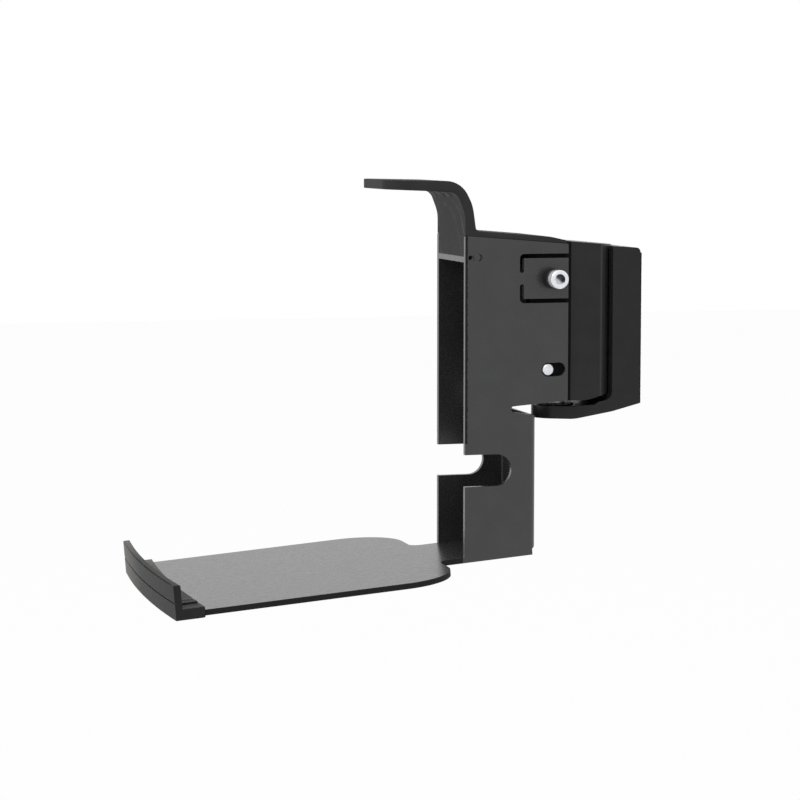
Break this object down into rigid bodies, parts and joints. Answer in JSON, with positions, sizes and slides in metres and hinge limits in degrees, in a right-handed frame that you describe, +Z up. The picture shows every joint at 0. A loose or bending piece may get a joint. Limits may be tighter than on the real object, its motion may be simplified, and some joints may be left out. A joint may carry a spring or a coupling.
{
  "type": "speaker wall bracket",
  "caption": "Wall bracket for a small loudspeaker: tilting steel cradle with tray, front lip and top hook, on a block that swivels on a wall arm.",
  "frame": {"origin": "middle of the pattern of wall screws, on the wall's surface", "axes": "+X into the wall, +Y from the near side to the far side, +Z up"},
  "size_m": [0.2715, 0.1544, 0.2207],
  "materials": {
    "zinc": "zinc plated, satin",
    "foam": "matt foam",
    "cast_black": "casting with satin black paint",
    "bronze": "plain sintered bronze",
    "nylon": "matt nylon",
    "screw_black": "black oxide",
    "block_black": "casting with satin black paint",
    "bright_screw": "bright zinc",
    "collar_black": "black oxide",
    "pin_zinc": "bright zinc",
    "powder_coat": "satin black powder coat",
    "hook_plastic": "moulded, black, fine texture",
    "lip_plastic": "moulded, black"
  },
  "bodies": {
    "wall": {"wall_plate": "zinc", "wall_gasket": "foam", "wall_arm": "cast_black", "arm_bush": "bronze", "thrust_washer": "nylon", "locking_screws": "screw_black"},
    "swivel": {"swivel_block": "block_black", "spindle_spacer": "zinc", "swivel_bolt": "screw_black", "disc_springs": "zinc", "swivel_nut": "zinc", "tilt_screw": "bright_screw", "tilt_collar": "collar_black", "tilt_washer": "zinc", "tilt_nut": "zinc", "guide_pin": "pin_zinc"},
    "cradle": {"cradle_frame": "powder_coat", "top_hook": "hook_plastic", "hook_screws": "screw_black", "front_lip": "lip_plastic", "lip_screws": "screw_black"}
  },
  "joints": [
    {"name": "swivel", "type": "hinge", "parent": "wall", "child": "swivel", "pos_m": [-0.04, 0, 0], "axis": [0, 0, 1], "range_deg": [-40, 40]},
    {"name": "tilt", "type": "hinge", "parent": "swivel", "child": "cradle", "pos_m": [-0.0515, 0, 0.0264], "axis": [0, 1, 0], "range_deg": [0, 7]}
  ]
}
